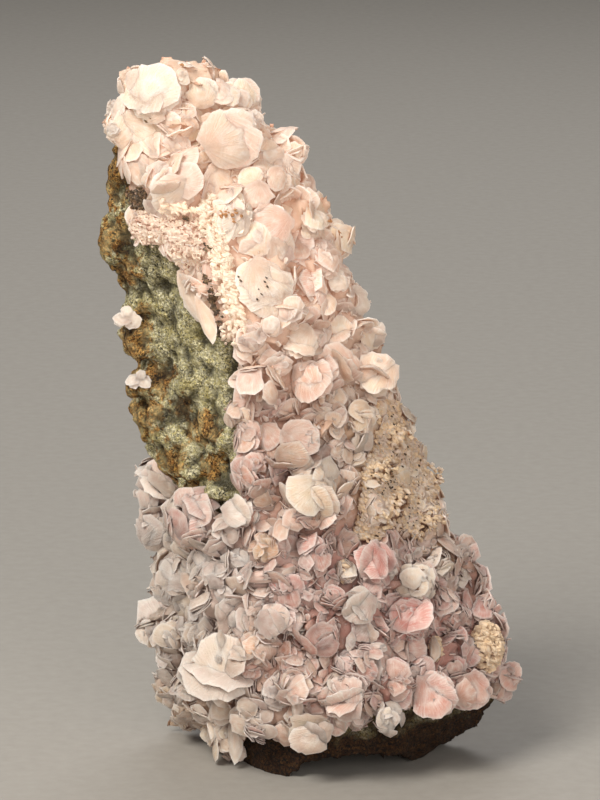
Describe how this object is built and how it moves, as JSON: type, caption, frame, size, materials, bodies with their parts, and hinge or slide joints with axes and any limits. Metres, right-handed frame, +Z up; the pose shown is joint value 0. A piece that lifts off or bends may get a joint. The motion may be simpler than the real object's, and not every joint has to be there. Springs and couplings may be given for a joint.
{
  "type": "calcite crystal specimen on host rock",
  "caption": "Standing wedge of host rock whose front, sides and top are covered by a crust of pink to white bladed calcite rosettes.",
  "frame": {"origin": "centre of the bounding box at the base, on the surface that the specimen stands on", "axes": "+Z up along the specimen's height; the crystal face looks along -Y; +X to the right as seen from that side"},
  "size_m": [0.0599, 0.0384, 0.1011],
  "materials": {
    "host_rock": "rough broken rock, olive green with ochre iron stains",
    "pink_calcite": "translucent pink to white crystal blades with frosted rims",
    "white_calcite": "translucent white crystal blades"
  },
  "bodies": {
    "root": {"host_rock": "host_rock", "calcite_crust": "pink_calcite", "flank_tuft_upper": "white_calcite", "flank_tuft_lower": "white_calcite"}
  },
  "joints": []
}
